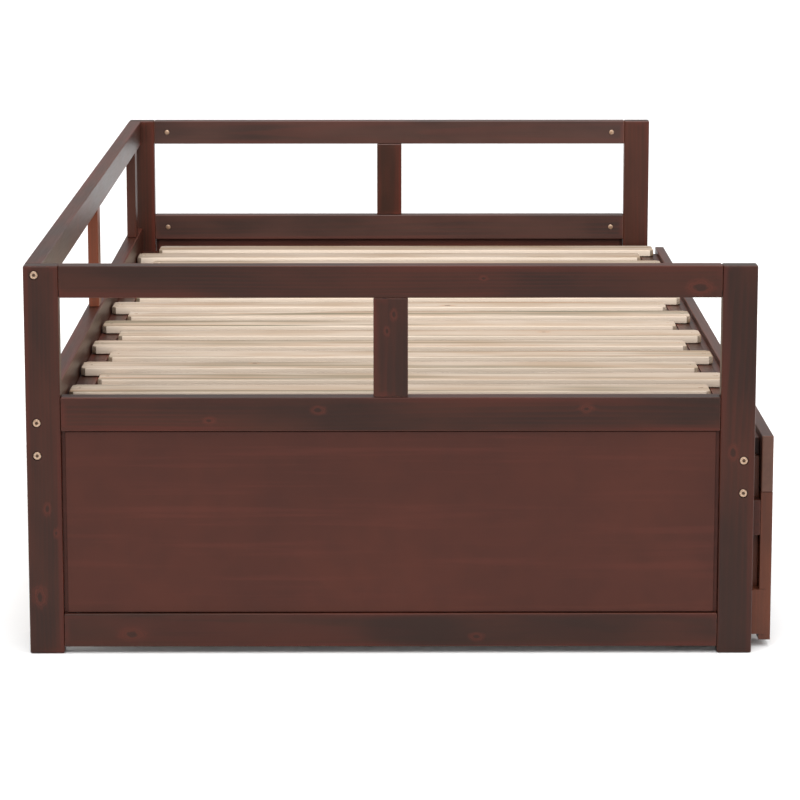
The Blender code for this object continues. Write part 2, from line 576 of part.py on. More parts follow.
def trundle_deck(inner_x, slide):
    """Slats across the trundle, let into bearers that run along it."""
    half = inner_x - DECK_GAP
    front = Y_BOARD_BACK + DECK_GAP
    rear = Y_TRUNDLE_REAR - TRUNDLE_BOARD - DECK_GAP
    slat_z = DECK_BOTTOM + DECK_BEARER_HEIGHT - DECK_LAP
    deck = board("trundle_deck", (-half, half), (front, front + DECK_BEARER_DEPTH),
                 (DECK_BOTTOM, DECK_BOTTOM + DECK_BEARER_HEIGHT), PINE_FRAME, PANEL_EASE, slide)
    bearer_pitch = (rear - front - DECK_BEARER_DEPTH) / (DECK_BEARER_COUNT - 1)
    rows = deck.modifiers.new("bearers", "ARRAY")
    rows.count = DECK_BEARER_COUNT
    rows.use_relative_offset = False
    rows.use_constant_offset = True
    rows.constant_offset_displace = (0, bearer_pitch, 0)
    deck.modifiers.move(len(deck.modifiers) - 1, 0)

    slat_pitch = (2 * (half - GLUE_STEP) - DECK_SLAT_WIDTH) / (DECK_SLAT_COUNT - 1)
    slats = helper_box("trundle_deck_slats",
                       (-half + GLUE_STEP, -half + GLUE_STEP + DECK_SLAT_WIDTH),
                       (front + GLUE_STEP, rear - GLUE_STEP),
                       (slat_z, slat_z + DECK_SLAT_THICKNESS), slide)
    row = slats.modifiers.new("slats", "ARRAY")
    row.count = DECK_SLAT_COUNT
    row.use_relative_offset = False
    row.use_constant_offset = True
    row.constant_offset_displace = (slat_pitch, 0, 0)
    combine(deck, slats, "UNION")


# ---------------------------------------------------------------- build
ENDS = (("left", -1), ("right", 1))

clear_scene()
parts = new_collection("extending_daybed")
cutters = new_collection("extending_daybed_cutters")

for end_name, end_side in ENDS:
    end_panel(end_name, end_side)
back_frame()
slat_bearers()
fixed_slats()
extension(slide_origin("extension_slide"))
trundle(slide_origin("trundle_slide"))
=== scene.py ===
# %% [markdown]
# # An extending daybed with a trundle
# The frame of the bed comes in finished, as real boards at their real places. This lesson gives
# it what a maker's workshop gives it last: stained and raw pine with its own grain in every
# board, rounded slats with their screws, connector bolts, barrel nuts and wheels.

# %% Load the frame
import math
import random

import bpy
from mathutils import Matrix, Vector


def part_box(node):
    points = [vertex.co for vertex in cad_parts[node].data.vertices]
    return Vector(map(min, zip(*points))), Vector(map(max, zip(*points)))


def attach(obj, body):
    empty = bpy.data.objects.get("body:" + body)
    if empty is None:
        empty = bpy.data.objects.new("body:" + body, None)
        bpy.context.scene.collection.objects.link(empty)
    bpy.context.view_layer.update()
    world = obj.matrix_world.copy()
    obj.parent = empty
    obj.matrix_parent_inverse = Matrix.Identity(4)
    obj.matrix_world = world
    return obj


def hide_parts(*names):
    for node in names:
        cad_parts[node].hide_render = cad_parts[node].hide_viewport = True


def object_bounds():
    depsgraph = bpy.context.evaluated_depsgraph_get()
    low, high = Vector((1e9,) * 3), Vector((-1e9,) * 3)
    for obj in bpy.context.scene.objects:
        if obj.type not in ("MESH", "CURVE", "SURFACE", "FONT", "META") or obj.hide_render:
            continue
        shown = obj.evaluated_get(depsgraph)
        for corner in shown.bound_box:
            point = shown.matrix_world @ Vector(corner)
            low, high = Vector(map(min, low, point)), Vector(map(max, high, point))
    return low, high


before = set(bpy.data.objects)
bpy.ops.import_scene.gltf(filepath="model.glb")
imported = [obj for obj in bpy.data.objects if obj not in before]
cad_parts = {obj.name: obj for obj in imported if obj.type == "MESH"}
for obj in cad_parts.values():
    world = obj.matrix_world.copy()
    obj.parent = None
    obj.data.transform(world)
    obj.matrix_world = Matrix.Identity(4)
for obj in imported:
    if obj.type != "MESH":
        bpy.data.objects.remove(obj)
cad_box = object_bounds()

low, high = (Vector(corner) for corner in cad_box)
print("boards:", len(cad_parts), "box:", [round(side, 3) for side in high - low])

# %% [markdown]
# ## Camera
# The bed is seen from its end and from above, with a long lens, so that its far end is only a
# little smaller than the near one. The camera's place is counted from the near end panel.

# %% Camera
CAMERA_AWAY = 4.571
CAMERA_UP = 1.209
CAMERA_ASIDE = 0.021
CAMERA_DOWN = math.radians(10.53)
CAMERA_TURN = math.radians(0.234)
CAMERA_LENS = 152.0

camera_data = bpy.data.cameras.new("studio_camera")
camera_data.lens = CAMERA_LENS
camera_data.clip_end = 200
camera = bpy.data.objects.new("studio_camera", camera_data)
camera.location = (low.x - CAMERA_AWAY, CAMERA_ASIDE, CAMERA_UP)
camera.rotation_euler = (math.pi / 2 - CAMERA_DOWN, 0, -math.pi / 2 - CAMERA_TURN)
bpy.context.scene.collection.objects.link(camera)
bpy.context.scene.camera = camera
print("camera at", [round(value, 3) for value in camera.location])

# %% [markdown]
# ## Studio
# A photographer would stand this on a white sweep under big soft boxes. Suns with a wide angle
# do the same and light the floor evenly. A box over the bed reaches the inside of the far end
# but not the outside of the near one. The air is bright overhead and dims towards the horizon,
# so that satin wood keeps its colour where it is seen at a low angle.

# %% Studio
SOFT_BOX = (1.6, 0.35)
AIR_AT_HORIZON = (0.36, 0.355, 0.35, 1)
AIR_OVERHEAD = (1.25, 1.25, 1.25, 1)
AIR_STRENGTH = 0.8
FLOOR_SIZE = 90
FLOOR_DROP = 0.0004
FLOOR_WHITE = (0.95, 0.95, 0.95, 1)


def shine(light, direction):
    """Turn a light to shine along a direction and add it to the scene."""
    light.rotation_euler = Vector(direction).to_track_quat("-Z", "Y").to_euler()
    bpy.context.scene.collection.objects.link(light)


def sun(name, direction, strength, softness):
    """A light from far away; softness is its width in degrees."""
    data = bpy.data.lights.new(name, "SUN")
    data.energy = strength
    data.angle = math.radians(softness)
    shine(bpy.data.objects.new(name, data), direction)


def box_light(name, place, direction, energy):
    """A long soft box across the bed, out of the camera's sight."""
    data = bpy.data.lights.new(name, "AREA")
    data.energy = energy
    data.shape = "RECTANGLE"
    data.size, data.size_y = SOFT_BOX
    light = bpy.data.objects.new(name, data)
    light.location = place
    shine(light, direction)


def fill_air():
    """A world that brightens from the horizon to the zenith."""
    world = bpy.data.worlds.new("studio_air")
    world.use_nodes = True
    bpy.context.scene.world = world
    nodes, links = world.node_tree.nodes, world.node_tree.links
    toward = nodes.new("ShaderNodeTexCoord")
    parts = nodes.new("ShaderNodeSeparateXYZ")
    height = nodes.new("ShaderNodeMapRange")
    tone = nodes.new("ShaderNodeMix")
    tone.data_type = "RGBA"
    tone.inputs[6].default_value = AIR_AT_HORIZON
    tone.inputs[7].default_value = AIR_OVERHEAD
    links.new(toward.outputs["Generated"], parts.inputs[0])
    links.new(parts.outputs["Z"], height.inputs["Value"])
    links.new(height.outputs["Result"], tone.inputs["Factor"])
    links.new(tone.outputs[2], nodes["Background"].inputs["Color"])
    nodes["Background"].inputs["Strength"].default_value = AIR_STRENGTH


def lay_floor():
    bpy.ops.object.select_all(action="DESELECT")
    bpy.ops.mesh.primitive_plane_add(size=FLOOR_SIZE, location=(0, 0, -FLOOR_DROP))
    floor = bpy.context.object
    floor.name = "studio_floor"
    pale = bpy.data.materials.new("pale_floor")
    pale.use_nodes = True
    shader = pale.node_tree.nodes["Principled BSDF"]
    shader.inputs["Base Color"].default_value = FLOOR_WHITE
    shader.inputs["Roughness"].default_value = 0.9
    floor.data.materials.append(pale)


sun("key", (0.66, -0.3, -1.0), 1.6, 60)
sun("from_the_front", (0.14, 1.0, -0.9), 0.85, 60)
sun("low_fill", (1.0, 0.12, -0.42), 0.5, 40)
box_light("near_box", (-0.95, -0.1, 1.5), (1.6, 0.05, -0.95), 12)
box_light("middle_box", (-0.15, -0.1, 1.75), (1.4, 0.05, -1.3), 24)
fill_air()
lay_floor()
bpy.context.scene.view_settings.view_transform = "Standard"
print("lights:", [thing.name for thing in bpy.data.lights])

# %% [markdown]
# ## Wiring shaders as expressions
# Grain is mostly arithmetic: how far from the heart of the tree, how far from an edge. A small
# class lets that arithmetic be written as it would be on paper, and adds the Math nodes itself.

# %% Shader maths
class Value:
    """A socket in a finish. Arithmetic on it adds Math nodes."""

    def __init__(self, finish, socket):
        self.finish = finish
        self.socket = socket

    def __add__(self, other):
        return self.finish.math("ADD", self, other)

    def __sub__(self, other):
        return self.finish.math("SUBTRACT", self, other)

    def __rsub__(self, other):
        return self.finish.math("SUBTRACT", other, self)

    def __mul__(self, other):
        return self.finish.math("MULTIPLY", self, other)

    def __truediv__(self, other):
        return self.finish.math("DIVIDE", self, other)

    def __abs__(self):
        return self.finish.math("ABSOLUTE", self)

    __radd__ = __add__
    __rmul__ = __mul__


class Finish:
    """A material in the making, around one Principled shader."""

    def __init__(self, name):
        self.material = bpy.data.materials.new(name)
        self.material.use_nodes = True
        self.tree = self.material.node_tree
        self.shader = self.tree.nodes["Principled BSDF"]

    def node(self, kind, settings=None, inputs=None, output=0):
        """Add any node: its type, its settings, and the values or links of its inputs."""
        made = self.tree.nodes.new("ShaderNode" + kind)
        for key, setting in (settings or {}).items():
            setattr(made, key, setting)
        for key, value in (inputs or {}).items():
            self.feed(made.inputs[key], value)
        return Value(self, made.outputs[output])

    def axes(self):
        """The place on the piece along X, Y and Z, in metres."""
        point = self.node("TexCoord", output="Object")
        return [self.node("SeparateXYZ", inputs={0: point}, output=axis) for axis in range(3)]

    def feed(self, socket, value):
        if isinstance(value, Value):
            self.tree.links.new(value.socket, socket)
        else:
            socket.default_value = value

    def math(self, operation, *values):
        return self.node("Math", {"operation": operation}, dict(enumerate(values)))

    def step(self, value, start, end):
        """0 before start and 1 after end, with a smooth rise between."""
        return self.node("MapRange", {"interpolation_type": "SMOOTHSTEP"},
                         {"Value": value, "From Min": start, "From Max": end})

    def mix(self, share, first, second):
        """Between two colours, by share."""
        return self.node("Mix", {"data_type": "RGBA"}, {0: share, 6: first, 7: second}, 2)

    def noise(self, place, detail):
        """Soft random values around 0.5 at a place given as three coordinates."""
        vector = self.node("CombineXYZ", inputs=dict(enumerate(place)))
        return self.node("TexNoise", inputs={"Vector": vector, "Scale": 1.0, "Detail": detail,
                                             "Roughness": 0.5})

    def surface(self, colour, roughness, bump, strength, depth=0.0005):
        """Give the shader what changes over the surface."""
        relief = self.node("Bump", inputs={"Height": bump, "Strength": strength,
                                           "Distance": depth})
        self.feed(self.shader.inputs["Base Color"], colour)
        self.feed(self.shader.inputs["Roughness"], roughness)
        self.feed(self.shader.inputs["Normal"], relief)


print("shader helpers ready")

# %% [markdown]
# ## Pine
# A board is a slice of a tree, so its figure is one solid pattern: rings around a heart that
# lies somewhere beside the board. Where the slice runs nearly along a ring it shows broad
# arches, across the rings it shows fine lines, and the same rings turn up as arcs on the end
# grain. That comes out right on all six faces when the colour depends on the distance from
# the heart. Each board gets its own heart, so no two are alike. Knots push the rings aside.

# %% Timber
GRAIN_ORDER = {"X": (0, 1, 2), "Y": (1, 0, 2), "Z": (2, 0, 1)}
HEART_AWAY = (0.035, 0.09)
HEART_LEAN = 0.02
RING_SWAY = 0.014
RING_RIPPLE = 0.002
STAINED_RING = 0.0052
BARE_RING = 0.0042
NO_RING = 0.2  # wider than the rings' sway, for board without rings
KNOT_STRETCH = 1.7
KNOT_PUSH = 0.8
KNOT_SPREAD = 3.2
NO_KNOTS = ()


def rgb(red, green, blue):
    """A colour given as it looks on a screen, from 0 to 255, as the shader's linear values."""
    shares = [part / 255 for part in (red, green, blue)]
    return (*[s / 12.92 if s <= 0.04045 else ((s + 0.055) / 1.055) ** 2.4 for s in shares], 1.0)


class Board:
    """The figure of one board: where a point is in it, and the pattern of rings and fibres."""

    def __init__(self, name, box, grain, seed, ring, knots=NO_KNOTS):
        self.finish = finish = Finish(name)
        pick = random.Random(seed)
        start, end = box
        order = GRAIN_ORDER[grain]
        axes = finish.axes()
        self.along, self.across, self.deep = [axes[i] - (start[i] + end[i]) / 2 for i in order]
        self.half = [(end[i] - start[i]) / 2 for i in order]
        self.offset = pick.uniform(0, 90)

        sway = self.noise(1.7, 10, 2) - 0.5
        ripple = self.noise(9, 70, 2) - 0.5
        angle = pick.uniform(0, 2 * math.pi)
        away = pick.uniform(*HEART_AWAY)
        lean = pick.uniform(-HEART_LEAN, HEART_LEAN)
        side = self.across - away * math.cos(angle) + self.along * lean
        face = self.deep - away * math.sin(angle)
        radius = finish.math("SQRT", side * side + face * face)
        radius = radius + sway * RING_SWAY + ripple * RING_RIPPLE

        self.heart, self.swirl = 0.0, 0.0
        for place, aside, size in knots:
            reach = self.reach(place, aside, size, ripple)
            radius = radius + (1 - finish.step(reach, 0.0, KNOT_SPREAD)) * size * KNOT_PUSH
            heart = (1 - finish.step(reach, 0.35, 0.75)) * (0.4 + self.noise(300, 300, 2) * 1.1)
            rings = finish.step(reach, 0.55, 0.95) * (1 - finish.step(reach, 1.0, 2.3))
            swirl = rings * (0.35 + finish.math("FRACT", reach * 2.2) * 0.65)
            self.heart = finish.math("MAXIMUM", self.heart, heart)
            self.swirl = finish.math("MAXIMUM", self.swirl, swirl)
        turns = finish.math("FRACT", radius / ring)
        self.late = finish.step(turns, 0.3, 0.85) * (1 - finish.step(turns, 0.93, 1.0))
        self.fibre = self.noise(16, 600, 2)
        self.streak = self.noise(2.4, 150, 3)
        self.blotch = self.noise(5, 16, 3)

    def noise(self, along, across, detail):
        """Noise with so many cells per metre along the board and across it."""
        return self.finish.noise((self.along * along + self.offset, self.across * across,
                                  self.deep * across), detail)

    def reach(self, place, aside, size, ripple):
        """How many knot radii a point is from a knot, on the board's wide face."""
        wide = self.across if self.half[1] > self.half[2] else self.deep
        stretched = (self.along - place) / KNOT_STRETCH
        level = wide - aside
        reach = self.finish.math("SQRT", stretched * stretched + level * level) / size
        return reach + ripple * 1.2 + self.noise(110, 170, 2) - 0.5

    def edge(self):
        """The distance in metres to the nearest edge of the board."""
        finish = self.finish
        gaps = [half - abs(place) for half, place
                in zip(self.half, (self.along, self.across, self.deep))]
        least = finish.math("MINIMUM", finish.math("MINIMUM", gaps[0], gaps[1]), gaps[2])
        most = finish.math("MAXIMUM", finish.math("MAXIMUM", gaps[0], gaps[1]), gaps[2])
        return gaps[0] + gaps[1] + gaps[2] - least - most

    def end_grain(self):
        """1 on the two sawn ends and 0 elsewhere."""
        return 1 - self.finish.step(self.half[0] - abs(self.along), 0.0004, 0.0016)


print("timber ready")

# %% [markdown]
# ## Espresso stain
# The frame is pine under a dark brown stain and a satin lacquer. The soft early wood drinks
# more stain than the hard late wood, knots and thin spots stay red, and the sanding before
# the lacquer takes a little colour off every edge. A few boards get a redder stain, painted
# lighter as well to stand in for the light on them, and a few are painted lighter and greyer as
# painted light and sheen.

# %% Espresso stain
STAIN_SPECULAR = 0.22
ESPRESSO = {"deep": rgb(42, 23, 16), "mid": rgb(60, 30, 20), "red": rgb(78, 31, 21),
            "knot": rgb(86, 38, 26), "worn": rgb(98, 53, 40), "end": rgb(40, 25, 19)}
# Painted light: a redder stain, also lighter than ESPRESSO to stand in for the light on these
# boards.
RED_PAINTED_LIGHT_ESPRESSO = {**ESPRESSO, "deep": rgb(80, 45, 32), "mid": rgb(104, 56, 37),
                "red": rgb(118, 58, 38), "end": rgb(72, 42, 31)}
# Painted light and sheen: lighter and greyer than ESPRESSO, for the far end's rails and the front
# boards.
GREY_PAINTED_LIGHT_ESPRESSO = {**ESPRESSO, "deep": rgb(49, 34, 30), "mid": rgb(64, 42, 36),
                 "red": rgb(76, 41, 34), "end": rgb(102, 72, 60)}


def espresso(name, box, grain, seed, knots=NO_KNOTS, tones=ESPRESSO):
    """Stained and lacquered pine for one board."""
    board = Board(name, box, grain, seed, STAINED_RING, knots)
    finish = board.finish
    colour = finish.mix(finish.step(board.blotch, 0.32, 0.68), tones["deep"], tones["mid"])
    patch = finish.step(board.noise(3, 30, 2), 0.38, 0.66)
    edge = board.edge()
    rim = (1 - finish.step(edge, 0.003, 0.011)) * patch
    colour = finish.mix(rim * 0.55, colour, tones["red"])
    colour = finish.mix(board.late * (0.06 + patch * 0.22), colour, tones["red"])
    colour = finish.mix(finish.step(board.streak, 0.5, 0.78) * 0.5, colour, tones["deep"])
    if knots:
        colour = finish.mix(board.swirl * 0.65, colour, tones["knot"])
        colour = finish.mix(board.heart * 0.7, colour, tones["deep"])
    colour = finish.mix(board.end_grain() * (0.5 + board.streak * 0.5), colour, tones["end"])
    rubbed = (1 - finish.step(edge, 0.0005, 0.0018)) * finish.step(board.streak, 0.35, 0.6)
    colour = finish.mix(rubbed * 0.5, colour, tones["worn"])
    roughness = 0.27 + board.fibre * 0.1 + board.blotch * 0.08
    finish.surface(colour, roughness, board.fibre * 0.5 + board.late * 0.2, 0.18)
    finish.shader.inputs["Specular IOR Level"].default_value = STAIN_SPECULAR
    return finish.material


print("espresso tones:", sorted(ESPRESSO))

# %% [markdown]
# ## The end panels' boards
# The big lower panels are thin board, not solid pine. Stained board has no rings, only a soft
# mottle where the colour was wiped on, so it gets noise at three scales instead of a tree.

# %% Panel board
def stained_panel(name, box, seed):
    """Wiped stain on a smooth board."""
    board = Board(name, box, "Y", seed, NO_RING)
    finish = board.finish
    clouds = board.noise(3.2, 3.2, 3)
    mottle = board.noise(26, 26, 3)
    grit = board.noise(420, 420, 2)
    colour = finish.mix(finish.step(clouds, 0.3, 0.7), rgb(63, 29, 20), rgb(73, 34, 23))
    colour = finish.mix(finish.step(mottle, 0.35, 0.75) * 0.3, colour, rgb(55, 27, 20))
    fine = finish.step(board.noise(4, 90, 3), 0.5, 0.75)
    colour = finish.mix(fine * 0.25, colour, rgb(92, 44, 34))
    finish.surface(colour, 0.42 + mottle * 0.1, grit, 0.08)
    finish.shader.inputs["Specular IOR Level"].default_value = STAIN_SPECULAR
    return finish.material


print("panel board ready")

# %% [markdown]
# ## Raw pine
# Slats are planed and left bare. The wood is nearly cream, late wood shows as thin tan lines,
# some boards carry an orange or a green-grey stripe of heartwood, and small brown knots sit
# here and there. The narrow faces of a slat are painted paler than its top, as painted light on
# its edges, and older boards are darker all over and get no such painted light.

# %% Raw pine
BARE_SPECULAR = 0.35
STRIPE_SEED = 500
PINE = {"cream": rgb(163, 149, 135), "sap": rgb(148, 129, 110), "tan": rgb(119, 97, 76),
        "stripe": rgb(140, 98, 63), "grey": rgb(88, 84, 65), "knot": rgb(50, 34, 24),
        "painted_side_light": rgb(204, 188, 171)}


def raw_pine(name, box, grain, seed, knots=NO_KNOTS, aged=0.0):
    """Bare planed pine for one board; aged, from 0 to 1, darkens it towards honey."""
    board = Board(name, box, grain, seed, BARE_RING, knots)
    finish = board.finish
    pick = random.Random(seed + STRIPE_SEED)
    colour = finish.mix(finish.step(board.blotch, 0.3, 0.7), PINE["cream"], PINE["sap"])
    colour = finish.mix(board.late * 0.45, colour, PINE["tan"])
    orange = finish.step(board.noise(1.3, 60, 1), 0.58, 0.72) * pick.uniform(0.15, 0.8)
    grey = finish.step(board.noise(1.9, 48, 2), 0.48, 0.68) * pick.uniform(0.3, 0.95)
    colour = finish.mix(orange, colour, PINE["stripe"])
    colour = finish.mix(grey, colour, PINE["grey"])
    colour = finish.mix(finish.step(board.streak, 0.5, 0.75) * 0.4, colour, PINE["tan"])
    if knots:
        colour = finish.mix(board.swirl * 0.6, colour, PINE["stripe"])
        colour = finish.mix(board.heart * 0.9, colour, PINE["knot"])
    colour = finish.mix(board.end_grain() * 0.35, colour, PINE["stripe"])
    if aged:
        colour = finish.mix(aged, colour, PINE["stripe"])
    else:
        # Painted light: the narrow side faces are painted paler to stand in for the light on the
        # slat edges.
        sides = 1 - finish.step(board.half[1] - abs(board.across), 0.0001, 0.0009)
        colour = finish.mix(sides * 0.85, colour, PINE["painted_side_light"])
    finish.surface(colour, 0.55 + board.fibre * 0.15, board.fibre * 0.6 + board.late * 0.4, 0.25)
    finish.shader.inputs["Specular IOR Level"].default_value = BARE_SPECULAR
    return finish.material


print("pine tones:", sorted(PINE))

# %% [markdown]
# ## Finishing the boards
# Every board of the frame keeps its shape and gets a finish of its own. The grain runs along
# the longest side. A few boards have knots placed where they would be seen, each given as its
# place along the board and across it, from the middle, and its radius.

# %% Finish the frame
FIRST_SEED = 11
BARE_AGE = 0.25
BARE = ("runner", "crossbar", "trundle_back", "trundle_left_side", "trundle_right_side")
# These boards get the redder stain, painted lighter as painted light.
REDDER_PAINTED_LIGHT = ("extension_left_leg", "extension_right_leg", "back_centre_divider")
# These boards are painted lighter and greyer, as painted light and sheen.
GREYER_PAINTED_LIGHT = ("extension_front_rail", "right_mid_rail", "right_top_rail", "trundle_front")
REMADE = ("slat_", "wheel", "trundle_deck")
KNOTS = {
    "left_rear_post": ((-0.191, 0.009, 0.006), (-0.067, -0.004, 0.0035), (-0.101, -0.016, 0.003)),
    "left_front_post": ((0.012, 0.006, 0.004),),
    "left_mid_rail": ((0.25, -0.009, 0.0035), (0.10, 0.006, 0.004), (-0.27, 0.008, 0.004)),
    "left_bottom_rail": ((0.36, -0.006, 0.006), (-0.12, -0.01, 0.004)),
    "left_top_rail": ((-0.424, -0.008, 0.0065), (-0.127, 0.005, 0.0025)),
    "left_divider": ((0.046, -0.004, 0.003), (0.023, 0.005, 0.0025)),
    "back_top_rail": ((-0.4, 0.005, 0.006), (0.55, -0.006, 0.005)),
    "back_bottom_rail": ((0.3, 0.01, 0.007),),
    "extension_front_rail": ((-0.62, 0.012, 0.008), (0.1, -0.018, 0.007), (0.71, 0.0, 0.006)),
    "trundle_front": ((-0.42, 0.03, 0.010), (0.22, -0.04, 0.009), (0.66, 0.02, 0.008)),
}


def longest_side(around):
    sides = around[1] - around[0]
    return "XYZ"[max(range(3), key=lambda axis: sides[axis])]


def dress(piece, finish):
    """Give a piece one material in every slot."""
    piece.data.materials.clear()
    piece.data.materials.append(finish)


for seed, (name, piece) in enumerate(sorted(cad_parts.items()), FIRST_SEED):
    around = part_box(name)
    grain = longest_side(around)
    if name.endswith("_panel"):
        dress(piece, stained_panel(name + "_finish", around, seed))
    elif name.endswith(BARE):
        dress(piece, raw_pine(name + "_finish", around, grain, seed, aged=BARE_AGE))
    elif not any(word in name for word in REMADE):
        tones = (RED_PAINTED_LIGHT_ESPRESSO if name in REDDER_PAINTED_LIGHT
                 else GREY_PAINTED_LIGHT_ESPRESSO if name in GREYER_PAINTED_LIGHT else ESPRESSO)
        knots = KNOTS.get(name, NO_KNOTS)
        dress(piece, espresso(name + "_finish", around, grain, seed, knots, tones))
print("boards finished:", len(bpy.data.materials))

# %% [markdown]
# ## Modelling by hand, in code
# The rest is modelled with the same tools as by hand: add a primitive, pick faces or edges,
# inset, bevel, push. These helpers pick by place or direction and settle a finished piece so
# that its object stands at the origin and all of its shape is in its mesh.

# %% Modelling helpers
def select_only(*pieces):
    bpy.ops.object.select_all(action="DESELECT")
    for piece in pieces:
        piece.select_set(True)
    bpy.context.view_layer.objects.active = pieces[0]


def open_edit(piece, kind, chosen):
    """Edit mode, with the faces or edges that chosen() accepts selected."""
    select_only(piece)
    bpy.ops.object.mode_set(mode="EDIT")
    bpy.ops.mesh.select_mode(type=kind)
    bpy.ops.mesh.select_all(action="DESELECT")
    bpy.ops.object.mode_set(mode="OBJECT")
    for element in (piece.data.polygons if kind == "FACE" else piece.data.edges):
        element.select = chosen(element)
    bpy.ops.object.mode_set(mode="EDIT")


def close_edit():
    bpy.ops.object.mode_set(mode="OBJECT")


def settle(piece):
    """Apply the piece's place, turn and size to its mesh."""
    select_only(piece)
    bpy.ops.object.transform_apply(location=True, rotation=True, scale=True)
    return piece


def cut(piece, tool):
    """Take a tool's shape out of a piece, and throw the tool away."""
    select_only(piece)
    boolean = piece.modifiers.new("cut", "BOOLEAN")
    boolean.object = tool
    boolean.operation = "DIFFERENCE"
    boolean.solver = "EXACT"
    bpy.ops.object.modifier_apply(modifier=boolean.name)
    bpy.data.objects.remove(tool)


def cylinder(name, radius, depth, centre=(0, 0, 0), sides=32):
    bpy.ops.object.select_all(action="DESELECT")
    bpy.ops.mesh.primitive_cylinder_add(vertices=sides, radius=radius, depth=depth, location=centre)
    bpy.context.object.name = name
    return settle(bpy.context.object)


def box(name, size, centre=(0, 0, 0)):
    bpy.ops.object.select_all(action="DESELECT")
    bpy.ops.mesh.primitive_cube_add(size=1, location=centre)
    bpy.context.object.name = name
    bpy.context.object.scale = size
    return settle(bpy.context.object)


def copy_to(pattern, name, place, turn=(0, 0, 0)):
    """A copy with its own mesh, at a place and a turn."""
    made = pattern.copy()
    made.data = pattern.data.copy()
    made.name = name
    bpy.context.scene.collection.objects.link(made)
    made.location = place
    made.rotation_euler = turn
    return settle(made)


def join(name, pieces):
    """Several solids of the same kind as one piece."""
    select_only(*pieces)
    bpy.ops.object.join()
    bpy.context.object.name = name
    return bpy.context.object


def smooth(piece, degrees=35):
    select_only(piece)
    bpy.ops.object.shade_smooth_by_angle(angle=math.radians(degrees))


print("modelling helpers ready")

# %% [markdown]
# ## Slats
# A bed slat is a thin plank with well rounded edges and its corners clipped so that nobody
# catches a sleeve. Each has a countersunk screw hole near either end. One slat of each kind is
# modelled, and the rest are copies with their own grain.

# %% Slats
CORNER_CLIP = 0.007
EDGE_ROUND = 0.0022
SCREW_FROM_END = 0.0125
SINK_BOTTOM = 0.00189
SINK_TOP = 0.00525
SINK_DEPTH = 0.0022
FIXED_SEED, SLIDING_SEED = 300, 329
SLAT_KNOTS = {
    3: ((0.21, 0.012, 0.003),),
    6: ((-0.1, -0.014, 0.0045),),
    8: ((0.33, 0.005, 0.003),),
    11: ((0.12, 0.016, 0.0035), (-0.35, -0.01, 0.003)),
    14: ((-0.22, 0.006, 0.004),),
    17: ((0.02, -0.012, 0.005),),
}


def upright(edge_vertices, mesh):
    first, second = (mesh.vertices[index].co for index in edge_vertices)
    return abs(first.z - second.z) > 0.5 * abs((first - second).length)


def model_slat(name, size):
    """A slat around the origin, with clipped corners, rounded edges and two screw holes."""
    slat = box(name, size)
    open_edit(slat, "EDGE", lambda edge: upright(edge.vertices, slat.data))
    bpy.ops.mesh.bevel(offset=CORNER_CLIP, segments=1, affect="EDGES")
    close_edit()
    open_edit(slat, "EDGE", lambda edge: not upright(edge.vertices, slat.data))
    bpy.ops.mesh.bevel(offset=EDGE_ROUND, segments=4, affect="EDGES")
    close_edit()
    for end in (-1, 1):
        bpy.ops.object.select_all(action="DESELECT")
        bpy.ops.mesh.primitive_cone_add(
            vertices=24, radius1=SINK_BOTTOM, radius2=SINK_TOP, depth=SINK_DEPTH * 2,
            location=(0, end * (size[1] / 2 - SCREW_FROM_END), size[2] / 2 - SINK_DEPTH / 4))
        cut(slat, settle(bpy.context.object))
    smooth(slat)
    return slat


def lay_slats(kind, body, before, seed):
    """Replace the plain slats of one kind; before is the number of slats laid already."""
    names = sorted(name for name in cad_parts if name.startswith(kind))
    start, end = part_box(names[0])
    pattern = model_slat(kind + "_pattern", end - start)
    laid = []
    for number, name in enumerate(names, 1):
        start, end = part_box(name)
        slat = copy_to(pattern, f"{kind}_board_{number}", (start + end) / 2)
        dress(slat, raw_pine(slat.name + "_finish", (start, end), "Y", seed + number,
                             SLAT_KNOTS.get(before + number, NO_KNOTS)))
        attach(slat, body)
        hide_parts(name)
        laid.append(slat)
    bpy.data.objects.remove(pattern)
    return laid


fixed = lay_slats("fixed_slat", "bed", 0, FIXED_SEED)
sliding = lay_slats("sliding_slat", "extension", len(fixed), SLIDING_SEED)
print("slats:", len(fixed), "fixed and", len(sliding), "sliding, each",
      len(fixed[0].data.polygons), "faces")

# %% [markdown]
# ## The trundle's deck
# The trundle carries a mattress on narrow slats too. Three bearers run the length of it, and
# each slat sits in a shallow housing cut across them, which keeps the slats square while
# they are screwed down.

# %% Deck
BEARERS = 3
BEARER_HEIGHT = 0.022
BEARER_DEPTH = 0.030
DECK_SLATS = 14
DECK_SLAT_WIDTH = 0.060
DECK_SLAT_THICKNESS = 0.012
DECK_SETBACK = 0.004
HOUSING_PLAY = 0.0004
HOUSING_TOOL = (0.05, 0.01)  # across the bearer, and up
ARRIS = 0.0012
BEARER_AGE, DECK_AGE = 0.2, 0.12
BEARER_SEED, DECK_SEED = 420, 440

deck_low, deck_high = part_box("trundle_deck")
deck_first = deck_low.x + DECK_SETBACK + DECK_SLAT_WIDTH / 2
deck_pitch = -2 * deck_first / (DECK_SLATS - 1)
slat_size = Vector((DECK_SLAT_WIDTH, deck_high.y - deck_low.y - 2 * DECK_SETBACK,
                    DECK_SLAT_THICKNESS))
slat_middle = Vector((0, (deck_low.y + deck_high.y) / 2, deck_high.z - DECK_SLAT_THICKNESS / 2))


